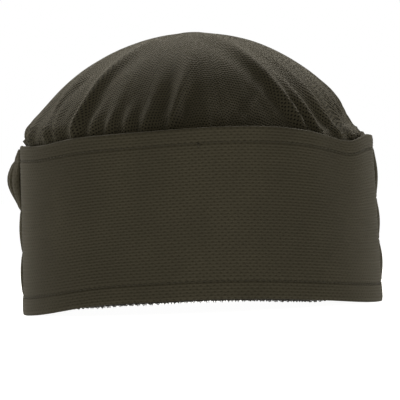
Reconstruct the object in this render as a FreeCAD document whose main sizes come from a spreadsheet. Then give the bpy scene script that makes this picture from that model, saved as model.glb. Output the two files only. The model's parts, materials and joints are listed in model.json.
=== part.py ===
"""A soft chef's cap: a tall double-knit band, a gathered mesh crown and an elastic back.

The cap stands on its lower edge on the plane Z = 0, with the wearer's face towards -Y and the
crown up, +Z. Seen from above the band is an ellipse, a little narrower at its top edge (the rim)
than at its foot. It rests on the stretches beside its two side seams, and both its edges rise
from there towards the forehead and, less, towards the nape. The front half holds three plies: the
outer knit, a stiffening ply and a facing. The back half holds a wide elastic between two plies of
the same knit, and slides backwards where the elastic stretches. The crown is one gathered mesh
dome, whose seam allowance hangs down inside the band. Lengths are in millimetres.
"""
import FreeCAD
import Part
import Sketcher
import os
import re

SIZES = {
    # the band, as an ellipse seen from above
    "band_height": 82.0,
    "foot_half_width": 87.0,
    "foot_half_depth": 99.0,
    "rim_half_width": 84.0,
    "rim_half_depth": 96.0,
    "front_rise": 6.2,            # how far both edges rise at the middle of the forehead
    "back_rise": 2.5,             # and at the middle of the nape
    "rest_offset": 15.0,          # from each side seam to the middle of the resting stretch
    "back_drop": 3.0,             # the back's top edge lies lower than the front's
    "seam_gap": 0.2,              # half the gap between the front and back halves
    # plies, each by its depth inside the outer surface
    "knit_ply": 0.9,
    "stiffener_ply": 0.6,
    "elastic_ply": 1.2,
    "stiffener_margin": 6.0,      # the stiffener stops short of both edges
    "elastic_width": 60.0,
    "elastic_foot": 10.0,
    # the crown
    "crown_height": 50.0,         # its top above the band's side corners
    "crown_ply": 0.8,
    "crown_clearance": 0.3,       # between the crown's allowance and the plies around it
    "crown_foot_height": 72.0,    # lower end of its seam allowance
    # the sweatband, behind the forehead
    "sweatband_ply": 1.6,
    "sweatband_height": 32.0,
    "sweatband_half_width": 76.0,
    "sweatband_drop": 0.8,        # how far it shows below the front edge
    # sewing thread and its rows
    "thread": 0.4,
    "thread_row": 0.6,
    "front_row_depth": 7.5,       # top-edge rows, below the edge
    "back_row_depth": 5.0,
    "hem_row_height": 8.5,        # hem rows, above the lower edge
    "overlock": 1.4,
    "seam_bar_foot": 3.0,         # lower end of the side seams' overlocked edges
    "side_row_inset": 3.0,        # side-seam rows, away from the seam
    "end_tack_inset": 9.0,        # rows that hold the elastic's ends
    # the care label
    "label_width": 34.0,
    "label_height": 24.0,
    "label_top": 62.0,
    "label_ply": 0.3,
}
REACH = 300.0                     # longer than the whole cap, for cutting blocks

doc = FreeCAD.newDocument("chef_cap")
sheet = doc.addObject("Spreadsheet::Sheet", "Sizes")
for row, (alias, value) in enumerate(SIZES.items(), start=1):
    sheet.set("A%d" % row, alias)
    sheet.set("B%d" % row, str(value))
    sheet.setAlias("B%d" % row, alias)
doc.recompute()

sub_parts = []


def cells(text):
    """The text with every cell's alias written as FreeCAD's expressions want it."""
    return re.sub("[a-z_]+", lambda m: "Sizes." + m[0] if m[0] in SIZES else m[0], text)


def bind(thing, **sizes):
    """Binds each named property of an object to an expression on the sheet's cells."""
    for name, text in sizes.items():
        thing.setExpression(name, cells(text))
    return thing


def place(thing, x="0", y="0", z="0"):
    """Binds an object's position to expressions on the sheet's cells."""
    for axis, text in (("x", x), ("y", y), ("z", z)):
        if text != "0":
            thing.setExpression("Placement.Base." + axis, cells(text))
    return thing


def boolean(kind, name, base, tool):
    """A Part::Cut, Part::Fuse or Part::Common of two objects."""
    result = doc.addObject("Part::" + kind, name)
    result.Base = base
    result.Tool = tool
    return result


def keep(thing, label):
    """Names a finished sub-part, which names its file too."""
    thing.Label = label
    sub_parts.append(thing)


# ---- the band's tapering wall -------------------------------------------------------------------


def band_ellipse(name, depth, height):
    """The band's ellipse at a height, drawn in by a depth from the outer surface."""
    ellipse = doc.addObject("Part::Ellipse", name)
    taper = "( %s ) / band_height"
    half_depth = "foot_half_depth + ( rim_half_depth - foot_half_depth ) * " + taper + " - ( %s )"
    half_width = "foot_half_width + ( rim_half_width - foot_half_width ) * " + taper + " - ( %s )"
    bind(ellipse, MajorRadius=half_depth % (height, depth), MinorRadius=half_width % (height, depth))
    quarter_turn = FreeCAD.Rotation(FreeCAD.Vector(0, 0, 1), 90)
    ellipse.Placement = FreeCAD.Placement(FreeCAD.Vector(0, 0, 0), quarter_turn)
    return place(ellipse, z=height)


def tapered_plug(name, depth, low, high):
    """A solid that fills the band from one height to another, inside a depth."""
    plug = doc.addObject("Part::Loft", name)
    plug.Sections = [
        band_ellipse(name + "_foot", depth, low),
        band_ellipse(name + "_top", depth, high),
    ]
    plug.Solid = True
    plug.Ruled = True
    return plug


def wall(name, outside, inside, low, high):
    """A tapering ring of the band between two depths, all the way round."""
    outer = tapered_plug(name + "_outer", outside, low, high)
    inner = tapered_plug(name + "_inner", inside, low, high)
    return boolean("Cut", name + "_ring", outer, inner)


def block(name, length, width, height, x, y, z):
    """A box by its sizes and its lowest corner, each an expression."""
    box = doc.addObject("Part::Box", name)
    bind(box, Length=length, Width=width, Height=height)
    return place(box, x=x, y=y, z=z)


def rise_cylinder(name, side, rise, height):
    """A cylinder across the cap, whose wall rises through a height on both sides of the stretch
    that the cap rests on, and climbs from there to the forehead (side -1) or the nape (side 1)."""
    cylinder = doc.addObject("Part::Cylinder", name)
    reach = "( foot_half_depth - rest_offset )"
    radius = "( %s ^ 2 + %s ^ 2 ) / ( 2 * %s )" % (reach, rise, rise)
    bind(cylinder, Radius=radius, Height="%g" % REACH)
    across = FreeCAD.Rotation(FreeCAD.Vector(0, 1, 0), 90)
    cylinder.Placement = FreeCAD.Placement(FreeCAD.Vector(-REACH / 2, 0, 0), across)
    below = "rest_offset ^ 2 / ( 2 * %s )" % radius
    return place(
        cylinder, y="%d * rest_offset" % side, z="%s + %s - %s" % (height, radius, below),
    )


def half_ply(label, half, outside, inside, low, high, half_width="%g" % (REACH / 2), foot="0"):
    """A ply or thread row of one half of the band, by its depths and its heights at the sides.
    Nothing of it lies below its foot, which gives the outer plies their flat resting stretch."""
    side = -1 if half == "front" else 1
    rise = half + "_rise"
    ring = wall(label, outside, inside, foot, "band_height + 2 * front_rise")
    box = block(
        label + "_box",
        "2 * " + half_width, "%g - seam_gap" % (REACH / 2), "%g" % REACH,
        "0 - " + half_width, "seam_gap" if side > 0 else "-%g" % (REACH / 2), "-%g" % (REACH / 3),
    )
    above = boolean("Common", label + "_above", box, rise_cylinder(label + "_low", side, rise, low))
    slab = boolean("Cut", label + "_slab", above, rise_cylinder(label + "_high", side, rise, high))
    keep(boolean("Common", label + "_ply", ring, slab), label)


def thread_row(label, half, depth, height, half_width="%g" % (REACH / 2)):
    """A row of stitching along one half of the band, on the surface at a depth."""
    half_ply(label, half, depth + " - thread", depth, height, height + " + thread_row", half_width)


def upright_row(label, side, y, low, high):
    """A thread row that runs up the outside of the band. side is -1 for -X and 1 for +X."""
    ring = wall(label, "0 - thread", "0", low, high)
    slab = block(
        label + "_slab",
        "%g" % (REACH / 2), "thread_row", "( %s ) - ( %s )" % (high, low),
        "0" if side > 0 else "-%g" % (REACH / 2), y, low,
    )
    keep(boolean("Common", label + "_thread", ring, slab), label)


def seam_bar(label, side, y):
    """The overlocked edges of a side seam: a thin padded bar that leans with the band's wall."""
    body = doc.addObject("PartDesign::Body", label)
    plane = next(f for f in body.Origin.OriginFeatures if f.Role == "XY_Plane")
    sketch = body.newObject("Sketcher::SketchObject", label + "_section")
    sketch.AttachmentSupport = (plane, [""])
    sketch.MapMode = "FlatFace"
    corners = [
        FreeCAD.Vector(x, y, 0) for x, y in ((0, 0), (1, 0), (1, 1), (0, 1))
    ]
    for start, end in zip(corners, corners[1:] + corners[:1]):
        sketch.addGeometry(Part.LineSegment(start, end), False)
    for line in range(4):
        sketch.addConstraint(Sketcher.Constraint("Coincident", line, 2, (line + 1) % 4, 1))
    for line, kind in enumerate(("Horizontal", "Vertical", "Horizontal", "Vertical")):
        sketch.addConstraint(Sketcher.Constraint(kind, line))
    sketch.addConstraint(Sketcher.Constraint("Coincident", 0, 1, -1, 1))
    across = sketch.addConstraint(Sketcher.Constraint("DistanceX", 0, 1, 0, 2, 1.0))
    along = sketch.addConstraint(Sketcher.Constraint("DistanceY", 1, 1, 1, 2, 1.0))
    sketch.setExpression("Constraints[%d]" % across, cells("overlock"))
    sketch.setExpression("Constraints[%d]" % along, cells("2 * overlock"))
    pad = body.newObject("PartDesign::Pad", label + "_pad")
    pad.Profile = sketch
    bind(pad, Length="crown_foot_height - 3 * overlock - seam_bar_foot")
    lean = "atan( ( foot_half_width - rim_half_width ) / band_height )"
    turn = FreeCAD.Rotation(FreeCAD.Vector(0, 1, 0), 1.0)
    body.Placement = FreeCAD.Placement(FreeCAD.Vector(0, 0, 0), turn)
    body.setExpression("Placement.Rotation.Angle", cells("%d * " % -side + lean))
    wall_x = "foot_half_width - 2 * knit_ply - stiffener_ply - crown_clearance"
    x = wall_x + " - overlock" if side > 0 else "0 - ( %s )" % wall_x
    place(body, x=x, y=y, z="seam_bar_foot")
    keep(body, label)


# ---- front half: three plies, sweatband and thread rows -----------------------------------------

half_ply("front_band_outer", "front", "0", "knit_ply", "0", "band_height")
half_ply(
    "front_band_stiffener", "front", "knit_ply", "knit_ply + stiffener_ply",
    "stiffener_margin", "band_height - stiffener_margin",
)
front_lining = "2 * knit_ply + stiffener_ply"
half_ply(
    "front_band_facing", "front", "knit_ply + stiffener_ply", front_lining, "0", "band_height",
)
half_ply(
    "sweatband", "front", front_lining, front_lining + " + sweatband_ply",
    "overlock - sweatband_drop", "sweatband_height", "sweatband_half_width",
)
half_ply(
    "sweatband_overlock", "front", front_lining, front_lining + " + sweatband_ply",
    "0 - sweatband_drop", "overlock - sweatband_drop", "sweatband_half_width", "-2",
)
thread_row(
    "sweatband_upper_stitch", "front", front_lining + " + sweatband_ply + thread",
    "sweatband_height - 2 * thread_row", "sweatband_half_width",
)
thread_row("front_top_edge_stitch", "front", "0", "band_height - front_row_depth")
thread_row("front_hem_stitch", "front", "0", "hem_row_height")
for side, hand in ((-1, "right"), (1, "left")):
    # the wearer's right side is at -X
    upright_row(
        "side_seam_stitch_" + hand, side, "0 - side_row_inset",
        "hem_row_height + 2 * thread_row", "band_height - front_row_depth - thread_row",
    )
    seam_bar("side_seam_overlock_" + hand, side, "0 - seam_gap - 3 * overlock")

# ---- back half: elastic between two gathered plies, thread rows and the care label --------------

back_top = "band_height - back_drop"
back_lining = "2 * knit_ply + elastic_ply"
half_ply("back_casing_outer", "back", "0", "knit_ply", "0", back_top)
half_ply(
    "back_elastic", "back", "knit_ply", "knit_ply + elastic_ply",
    "elastic_foot", "elastic_foot + elastic_width",
)
half_ply("back_casing_inner", "back", "knit_ply + elastic_ply", back_lining, "0", back_top)
thread_row("back_top_edge_stitch", "back", "0", back_top + " - back_row_depth")
thread_row("back_hem_stitch", "back", "0", "hem_row_height")
for share, level in ((1, "lower"), (2, "upper")):
    # two shirring rows divide the elastic's width in three
    height = "elastic_foot + elastic_width * %d / 3" % share
    thread_row("back_shirring_stitch_" + level, "back", "0", height)
for side, hand in ((-1, "right"), (1, "left")):
    upright_row(
        "elastic_end_tack_" + hand, side, "end_tack_inset",
        "elastic_foot + elastic_width / 3 + 2 * thread_row",
        "elastic_foot + elastic_width * 2 / 3 - thread_row",
    )
half_ply(
    "care_label", "back", back_lining, back_lining + " + label_ply",
    "label_top - label_height", "label_top", "label_width / 2",
)
thread_row(
    "care_label_stitch", "back", back_lining + " + label_ply + thread",
    "label_top - 3 * thread_row", "label_width / 2",
)

# ---- crown: a mesh dome over an upright seam allowance ------------------------------------------

crown_depth = "2 * knit_ply + elastic_ply + crown_clearance"
crown_foot = "crown_foot_height"
cap_half_width = "( rim_half_width - ( %s ) )" % crown_depth
cap_half_depth = "( rim_half_depth - ( %s ) )" % crown_depth
cap_radius = "( %s ^ 2 + crown_height ^ 2 ) / ( 2 * crown_height )" % cap_half_width


def dome(name, depth):
    """An ellipsoid whose top is the crown's, round across the cap and longer from front to back."""
    ball = doc.addObject("Part::Ellipsoid", name)
    bind(
        ball,
        Radius1="%s - %s" % (cap_radius, depth),
        Radius2="%s - %s" % (cap_radius, depth),
        Radius3="( %s ) * %s / %s - %s" % (cap_radius, cap_half_depth, cap_half_width, depth),
    )
    return place(ball, z="band_height + crown_height - ( %s )" % cap_radius)


dome_shell = boolean("Cut", "dome_shell", dome("dome_outer", "0"), dome("dome_inner", "crown_ply"))
below = block(
    "below_crown", "%g" % REACH, "%g" % REACH, "%g" % REACH,
    "-%g" % (REACH / 2), "-%g" % (REACH / 2), "band_height - %g" % REACH,
)
cap_shell = boolean("Cut", "cap_shell", dome_shell, below)
allowance = wall("allowance", crown_depth, crown_depth + " + crown_ply", crown_foot, "band_height")
keep(boolean("Fuse", "crown_fused", cap_shell, allowance), "crown_panel")

overlock_ring = wall(
    "crown_seam_overlock", crown_depth, crown_depth + " + crown_ply",
    crown_foot + " - overlock", crown_foot,
)
keep(overlock_ring, "crown_seam_overlock")
seam_ring = wall(
    "crown_seam_stitch", crown_depth + " + crown_ply", crown_depth + " + crown_ply + thread",
    "band_height - 3 * thread_row", "band_height - 2 * thread_row",
)
keep(seam_ring, "crown_seam_stitch")

# ---- check and write ----------------------------------------------------------------------------

doc.recompute()
for thing in doc.Objects:
    if "Invalid" in thing.State or "Error" in thing.State:
        raise RuntimeError("%s failed: %s" % (thing.Name, thing.State))

os.makedirs("parts", exist_ok=True)
for thing in sub_parts:
    shape = thing.Shape
    if shape.isNull() or not shape.isValid() or not shape.Solids:
        raise RuntimeError("%s has no valid solid" % thing.Label)
    box = shape.BoundBox
    print("%-28s solids %d volume %8.1f  x %6.1f %6.1f  y %6.1f %6.1f  z %6.1f %6.1f" % (
        thing.Label, len(shape.Solids), shape.Volume,
        box.XMin, box.XMax, box.YMin, box.YMax, box.ZMin, box.ZMax,
    ))
    shape.exportStep("parts/%s.step" % thing.Label)
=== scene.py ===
# %% [markdown]
# # A low chef's cap
#
# The cap is soft goods from top to bottom: a deep knitted band stiffened across the forehead, a
# round mesh panel gathered into it as a crown, and an elastic back drawn up between two plies.
# Its CAD frame gives every ply's size and place. This lesson dresses that frame, piece by piece,
# with cloth that has folds, ribs and real stitches.

# %% Load the frame
import json
import math
import random
import time

import bpy
import numpy as np
from mathutils import Matrix, Vector

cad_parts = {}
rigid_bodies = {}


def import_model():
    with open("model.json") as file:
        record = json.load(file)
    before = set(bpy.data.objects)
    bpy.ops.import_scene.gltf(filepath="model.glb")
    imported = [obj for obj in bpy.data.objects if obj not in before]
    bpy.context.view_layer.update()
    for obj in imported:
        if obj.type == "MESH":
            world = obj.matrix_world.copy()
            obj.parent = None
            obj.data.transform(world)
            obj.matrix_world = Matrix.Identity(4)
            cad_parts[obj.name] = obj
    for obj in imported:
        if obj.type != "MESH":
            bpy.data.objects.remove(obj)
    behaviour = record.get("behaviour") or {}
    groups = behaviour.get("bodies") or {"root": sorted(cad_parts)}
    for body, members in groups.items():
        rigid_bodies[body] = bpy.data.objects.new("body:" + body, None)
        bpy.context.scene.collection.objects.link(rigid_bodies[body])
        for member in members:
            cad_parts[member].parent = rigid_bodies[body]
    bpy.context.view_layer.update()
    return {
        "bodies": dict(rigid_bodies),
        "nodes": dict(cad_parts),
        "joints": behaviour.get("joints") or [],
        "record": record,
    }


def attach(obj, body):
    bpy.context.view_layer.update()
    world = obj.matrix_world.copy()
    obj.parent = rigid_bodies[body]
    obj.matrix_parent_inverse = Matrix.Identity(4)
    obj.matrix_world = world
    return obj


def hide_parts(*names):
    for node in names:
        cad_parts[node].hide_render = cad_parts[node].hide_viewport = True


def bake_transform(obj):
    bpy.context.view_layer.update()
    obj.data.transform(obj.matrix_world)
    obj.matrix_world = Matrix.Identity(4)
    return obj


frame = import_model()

# %% [markdown]
# ## The cap's own sizes
#
# Everything hangs on the band, an ellipse seen from above that tapers a little towards its top
# edge, the rim. Both edges rise from the side seams towards the forehead and the nape. Lengths
# are in metres and azimuths in radians, 0 at the middle of the forehead and growing towards the
# wearer's left, +X.

# %% Sizes
MM = 0.001
BAND_HEIGHT = 82 * MM
FOOT_HALF_WIDTH = 87 * MM
FOOT_HALF_DEPTH = 99 * MM
RIM_HALF_WIDTH = 84 * MM
RIM_HALF_DEPTH = 96 * MM
FRONT_RISE = 6.2 * MM
BACK_RISE = 2.5 * MM
REST_OFFSET = 15 * MM
BACK_DROP = 3 * MM
KNIT_PLY = 0.9 * MM
STIFFENER_PLY = 0.6 * MM
ELASTIC_PLY = 1.2 * MM
SWEATBAND_PLY = 1.6 * MM
CROWN_PLY = 0.8 * MM
CROWN_FOOT = 72 * MM
FRONT_LINING = 2 * KNIT_PLY + STIFFENER_PLY
BACK_LINING = 2 * KNIT_PLY + ELASTIC_PLY
CROWN_DEPTH = BACK_LINING + 0.3 * MM
HEM_ROW = 8.5 * MM
FRONT_ROW_DEPTH = 7.5 * MM
BACK_ROW_DEPTH = 5 * MM
QUARTER = math.pi / 2
SEAM = QUARTER
RIB = 1.46 * MM


def bell(x, middle, spread):
    """A smooth bump, 1 at its middle."""
    return np.exp(-(((x - middle) / spread) ** 2))


def bumps(azimuth, places):
    """The sum of a few smooth bumps: the azimuth, spread and millimetres of each."""
    return sum(stand * MM * bell(azimuth, middle, spread) for middle, spread, stand in places)


def tuck(from_seam):
    """How far a ply turns inwards where it runs into a side seam."""
    return 0.9 * MM * np.clip(1 - from_seam / (1.3 * MM), 0, 1) ** 2


def seam_columns(start, end, columns):
    """Even azimuths from start to end, with a few more close to both ends."""
    close = np.array([0.25, 0.55, 0.9]) * MM / FOOT_HALF_DEPTH
    return np.unique(np.concatenate([np.linspace(start, end, columns), start + close, end - close]))


def rise(azimuth):
    """How much higher the band's edges lie at an azimuth than beside the side seams."""
    towards = np.cos(azimuth)
    reach = (np.abs(towards) * FOOT_HALF_DEPTH - REST_OFFSET) / (FOOT_HALF_DEPTH - REST_OFFSET)
    return np.where(towards > 0, FRONT_RISE, BACK_RISE) * reach**2


def band_point(azimuth, height, depth):
    """Points of the band's tapering wall, by height above the foot and depth inside its face."""
    azimuth, height, depth = np.broadcast_arrays(azimuth, height, depth)
    taper = height / BAND_HEIGHT
    half_width = FOOT_HALF_WIDTH + (RIM_HALF_WIDTH - FOOT_HALF_WIDTH) * taper - depth
    half_depth = FOOT_HALF_DEPTH + (RIM_HALF_DEPTH - FOOT_HALF_DEPTH) * taper - depth
    x = half_width * np.sin(azimuth)
    y = -half_depth * np.cos(azimuth)
    return np.stack([x, y, height + rise(azimuth)], axis=-1)


print("band", 2 * FOOT_HALF_WIDTH, "by", 2 * FOOT_HALF_DEPTH, "m, lining depth", FRONT_LINING)

# %% [markdown]
# ## Finishes
#
# A finish is a small node tree. Writing its maths as Python expressions keeps it readable, so one
# class wraps a socket and turns sums into Math nodes, and another makes every other node.

# %% A socket that takes part in sums
class Wire:
    """One output of a node in a finish, which can be added, multiplied and so on."""

    def __init__(self, finish, socket):
        self.finish = finish
        self.socket = socket

    def maths(self, operation, *values):
        node = self.finish.node("Math", {"operation": operation}, dict(enumerate(values)))
        return Wire(self.finish, node.outputs[0])

    def __add__(self, other):
        return self.maths("ADD", self, other)

    def __sub__(self, other):
        return self.maths("SUBTRACT", self, other)

    def __rsub__(self, other):
        return self.maths("SUBTRACT", other, self)

    def __mul__(self, other):
        return self.maths("MULTIPLY", self, other)

    def __truediv__(self, other):
        return self.maths("DIVIDE", self, other)

    def __pow__(self, other):
        return self.maths("POWER", self, other)

    __radd__ = __add__
    __rmul__ = __mul__

    def floor(self):
        return self.maths("FLOOR", self)

    def part(self):
        """What is left over a whole number, from 0 to 1."""
        return self.maths("FRACT", self)

    def size(self):
        """The distance from zero."""
        return self.maths("ABSOLUTE", self)

    def fade(self, start, end):
        """1 up to start, falling smoothly to 0 at end."""
        node = self.finish.node(
            "MapRange",
            {"interpolation_type": "SMOOTHSTEP"},
            {"Value": self, "From Min": start, "From Max": end, "To Min": 1.0, "To Max": 0.0},
        )
        return Wire(self.finish, node.outputs[0])


class Finish:
    """The node tree of a material, or of the world, and the few ways in which they are wired."""

    def __init__(self, holder):
        self.holder = holder
        self.holder.use_nodes = True
        self.tree = self.holder.node_tree
        self.tree.nodes.clear()

    def node(self, kind, settings=None, sockets=None):
        """Adds a node: its settings first, then values or links for its sockets."""
        node = self.tree.nodes.new("ShaderNode" + kind)
        for name, value in (settings or {}).items():
            setattr(node, name, value)
        for name, value in (sockets or {}).items():
            if isinstance(value, Wire):
                self.tree.links.new(value.socket, node.inputs[name])
            else:
                node.inputs[name].default_value = value
        return node

    def wire(self, kind, output, settings=None, sockets=None):
        return Wire(self, self.node(kind, settings, sockets).outputs[output])

    def noise(self, scale):
        """A noise over the object, from 0 to 1. scale is in waves per metre."""
        sockets = {"Vector": self.wire("TexCoord", "Object"), "Scale": scale, "Detail": 3.0}
        return self.wire("TexNoise", "Fac", None, sockets)

    def cloth(self):
        """Metres along and across the piece's own cloth, from its UV map."""
        place = self.wire("TexCoord", "UV")
        split = self.node("SeparateXYZ", None, {"Vector": place})
        return Wire(self, split.outputs["X"]), Wire(self, split.outputs["Y"])

    def blend(self, factor, first, second):
        """A colour between two colours."""
        sockets = {"Factor": factor, "A": first, "B": second}
        node = self.tree.nodes.new("ShaderNodeMix")
        node.data_type = "RGBA"
        for name, value in sockets.items():
            socket = next(s for s in node.inputs if s.name == name and s.enabled)
            if isinstance(value, Wire):
                self.tree.links.new(value.socket, socket)
            else:
                socket.default_value = value
        return Wire(self, next(s for s in node.outputs if s.enabled))

    def bump(self, height, distance):
        """A bump whose height of 1 stands for a distance in metres."""
        sockets = {"Height": height, "Distance": distance, "Strength": 1.0}
        return self.wire("Bump", "Normal", None, sockets)

    def shade(self, **sockets):
        """Ends the finish in one Principled shader and gives the material."""
        named = {name.replace("_", " ").title(): value for name, value in sockets.items()}
        if "Specular Ior Level" in named:
            named["Specular IOR Level"] = named.pop("Specular Ior Level")
        return self.end(self.node("BsdfPrincipled", None, named), "OutputMaterial")

    def end(self, shader, kind):
        """Ends the tree in a shader and gives what holds it."""
        self.tree.links.new(shader.outputs[0], self.node(kind).inputs["Surface"])
        return self.holder


def new_finish(name):
    return Finish(bpy.data.materials.new(name))


def colour(red, green, blue):
    """A colour picked as 0 to 255 on a screen, made linear."""
    def linear(part):
        part = part / 255
        return part / 12.92 if part <= 0.04045 else ((part + 0.055) / 1.055) ** 2.4
    return (linear(red), linear(green), linear(blue), 1.0)


def times(paint, share):
    """A colour made lighter or darker."""
    return [part * share for part in paint[:3]] + [1.0]


print("finish helpers ready")

# %% [markdown]
# ## The knits
#
# The band is a fine double knit with rows of pin dots, and the crown a birdseye mesh. Both are
# hollows in staggered rows, so one function draws both, on the map of metres that each cloth
# carries. The hollows are painted darker, as the shade inside them. Only the smallest relief is
# left to bump: ribs and folds are real shape. Faint noise stands for uneven yarn and wear.

# %% The knits
def knit(name, yarn, hollow, row, loop, eye, depth, sheen):
    """A pin-dotted knit. yarn is its colour and hollow the painted shade that darkens its hollows,
    row and loop its pitches in metres, eye the half sizes of one hollow along and across, as parts
    of those pitches, and depth how deep the hollows look."""
    finish = new_finish(name)
    along, across = finish.cloth()
    line = across / row
    number = line.floor()
    over = line - number - 0.5
    beside = (along / loop + number * 0.5).part() - 0.5
    away = ((beside / eye[0]) ** 2 + (over / eye[1]) ** 2) ** 0.5
    shaded_pit = away.fade(0.55, 1.25)
    groove = over.size().fade(0.5, 0.2)
    fuzz = finish.noise(2600)
    patches = finish.noise(34)
    worn = finish.blend(patches.fade(0.68, 0.32) * 0.5, yarn, times(yarn, 1.35))
    flecked = finish.blend(fuzz.fade(0.62, 0.38) * 0.45, worn, times(yarn, 0.55))
    # painted shade: the hollows take the darker hollow colour, as the shade inside them
    base = finish.blend(shaded_pit, flecked, hollow)
    height = groove * 0.55 - shaded_pit + fuzz * 0.25
    return finish.shade(
        base_color=base, roughness=0.78 + shaded_pit * 0.15, specular_ior_level=0.10,
        sheen_weight=sheen, sheen_roughness=0.4, sheen_tint=(1.0, 0.92, 0.76, 1.0),
        normal=finish.bump(height, depth),
    )


# each knit's second colour is painted shade, for the dark inside of its hollows
band_knit = knit(
    "band_double_knit", colour(64, 60, 47), colour(54, 50, 38),
    RIB, 3.15 * MM, (0.20, 0.26), 0.07 * MM, 0.02,
)
crown_mesh = knit(
    "crown_birdseye_mesh", colour(66, 62, 48), colour(22, 20, 13),
    1.57 * MM, 1.57 * MM, (0.28, 0.28), 0.24 * MM, 0.06,
)
print("knits", band_knit.name, crown_mesh.name)

# %% [markdown]
# ## Terry, thread and weaves
#
# The sweatband's loops are round tufts, thread is a fine diagonal twist, and the label, the
# stiffener and the elastic are crossed yarns. Each needs one texture and a bump.

# %% The other cloths and the threads
def terry(name, yarn):
    """Looped pile: small round tufts of uneven height."""
    finish = new_finish(name)
    place = finish.wire("TexCoord", "Object")
    tufts = finish.wire("TexVoronoi", "Distance", None, {"Vector": place, "Scale": 900.0})
    fuzz = finish.noise(3000)
    base = finish.blend(tufts.fade(0.75, 0.2), times(yarn, 0.45), yarn)
    return finish.shade(
        base_color=base, roughness=0.95, specular_ior_level=0.15,
        sheen_weight=0.3, sheen_roughness=0.6,
        normal=finish.bump(fuzz * 0.3 - tufts, 0.5 * MM),
    )


def thread(name, yarn):
    """Twisted sewing thread."""
    finish = new_finish(name)
    place = finish.wire("TexCoord", "Object")
    twist = finish.wire(
        "TexWave", "Fac", {"wave_type": "BANDS", "bands_direction": "DIAGONAL"},
        {"Vector": place, "Scale": 900.0, "Distortion": 1.0},
    )
    base = finish.blend(twist, times(yarn, 0.7), yarn)
    return finish.shade(
        base_color=base, roughness=0.75, specular_ior_level=0.15,
        sheen_weight=0.03, normal=finish.bump(twist, 0.08 * MM),
    )


def woven(name, yarn, pitch, gloss):
    """A plain weave of fine yarns, for the label, the stiffener and the elastic."""
    finish = new_finish(name)
    along, across = finish.cloth()
    warp = ((along / pitch).part() - 0.5).size()
    weft = ((across / pitch).part() - 0.5).size()
    fuzz = finish.noise(1800)
    lines = (warp + weft).fade(0.2, 0.8)
    base = finish.blend(lines * 0.6 + fuzz * 0.3, times(yarn, 0.75), yarn)
    return finish.shade(
        base_color=base, roughness=gloss, specular_ior_level=0.4,
        normal=finish.bump(lines + fuzz * 0.4, 0.1 * MM),
    )


band_terry = terry("sweatband_terry", colour(58, 54, 42))
seam_thread = thread("sewing_thread", colour(66, 62, 49))
edge_thread = thread("overlock_thread", colour(56, 52, 41))
label_satin = woven("label_satin", colour(226, 224, 216), 0.35 * MM, 0.35)
stiffener_felt = woven("stiffener_felt", colour(196, 194, 186), 0.8 * MM, 0.9)
elastic_web = woven("elastic_webbing", colour(52, 52, 50), 1.1 * MM, 0.6)
print("finishes", len(bpy.data.materials))

# %% [markdown]
# ## Cloth as a grid of points
#
# A sheet of cloth is easiest to shape as a grid of points, worked out from the band's own
# ellipse, and then given its thickness. Each sheet also carries a map of metres along and across
# the cloth, so the knit follows every fold.

# %% From a grid of points to a cloth with thickness
def grid_mesh(name, grid, loop):
    """A plain mesh from a grid of points, and its faces' corners. A loop's rows run round."""
    rows, columns = grid.shape[:2]
    spans = columns if loop else columns - 1
    row, column = np.meshgrid(np.arange(rows - 1), np.arange(spans), indexing="ij")
    following = (column + 1) % columns
    below = row * columns
    above = below + columns
    corners = np.stack([below + column, below + following, above + following, above + column], -1)
    corners = corners.reshape(-1, 4)
    mesh = bpy.data.meshes.new(name)
    mesh.from_pydata(grid.reshape(-1, 3).tolist(), [], corners.tolist())
    return mesh, corners


def cloth_sheet(name, grid, along, across, thickness, finish, loop=False):
    """A cloth from a grid of points (rows by columns), with metres along and across the cloth at
    each point. It is thickened inwards, away from the side that its faces look to."""
    mesh, corners = grid_mesh(name, grid, loop)
    chart = mesh.uv_layers.new(name="cloth")
    places = np.stack([along.reshape(-1)[corners], across.reshape(-1)[corners]], axis=-1)
    chart.data.foreach_set("uv", places.reshape(-1))
    piece = bpy.data.objects.new(name, mesh)
    bpy.context.scene.collection.objects.link(piece)
    if loop:
        close_top(piece)
    thicken(piece, thickness)
    piece.data.materials.append(finish)
    return piece


def close_top(piece):
    """Joins the points of the last ring, which all lie at the top, into one."""
    bpy.ops.object.select_all(action="DESELECT")
    bpy.context.view_layer.objects.active = piece
    bpy.ops.object.mode_set(mode="EDIT")
    bpy.ops.mesh.select_all(action="SELECT")
    bpy.ops.mesh.remove_doubles(threshold=1e-6)
    bpy.ops.object.mode_set(mode="OBJECT")


def thicken(piece, thickness):
    """Gives a sheet its thickness, inwards, and smooth shading."""
    solid = piece.modifiers.new("ply", "SOLIDIFY")
    solid.thickness = thickness
    solid.offset = -1.0
    apply_modifiers(piece)
    piece.data.shade_smooth()


def apply_modifiers(piece):
    """Applies every modifier on a piece, with nothing else selected."""
    bpy.ops.object.select_all(action="DESELECT")
    piece.select_set(True)
    bpy.context.view_layer.objects.active = piece
    for modifier in list(piece.modifiers):
        bpy.ops.object.modifier_apply(modifier=modifier.name)


print("cloth helpers ready")

# %% [markdown]
# ## Letting cloth settle
#
# Spare cloth finds its own folds, so Blender's Cloth makes them; drawn by hand they look stiff. The
# grid starts as the cloth was cut, longer than the place it is sewn into. In the first frames its
# sewn rows travel to that place, which gathers the rest, and a little air holds the rest up. A few
# frames later the points are read back. The cloth is settled at twelve times its size, because
# the solver does badly with lengths of a millimetre.

# %% Settle a grid of cloth
SETTLING_SCALE = 12.0
SETTLING_PULL = 15.0
SETTLING_BEND = 0.1
CLOTH_RULES = {
    "quality": 6, "mass": 0.05, "air_damping": 1.0, "shear_stiffness": 2.0,
    "tension_damping": 5.0, "compression_damping": 5.0, "shear_damping": 5.0,
    "bending_damping": 0.5, "pin_stiffness": 1.0,
}


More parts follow.
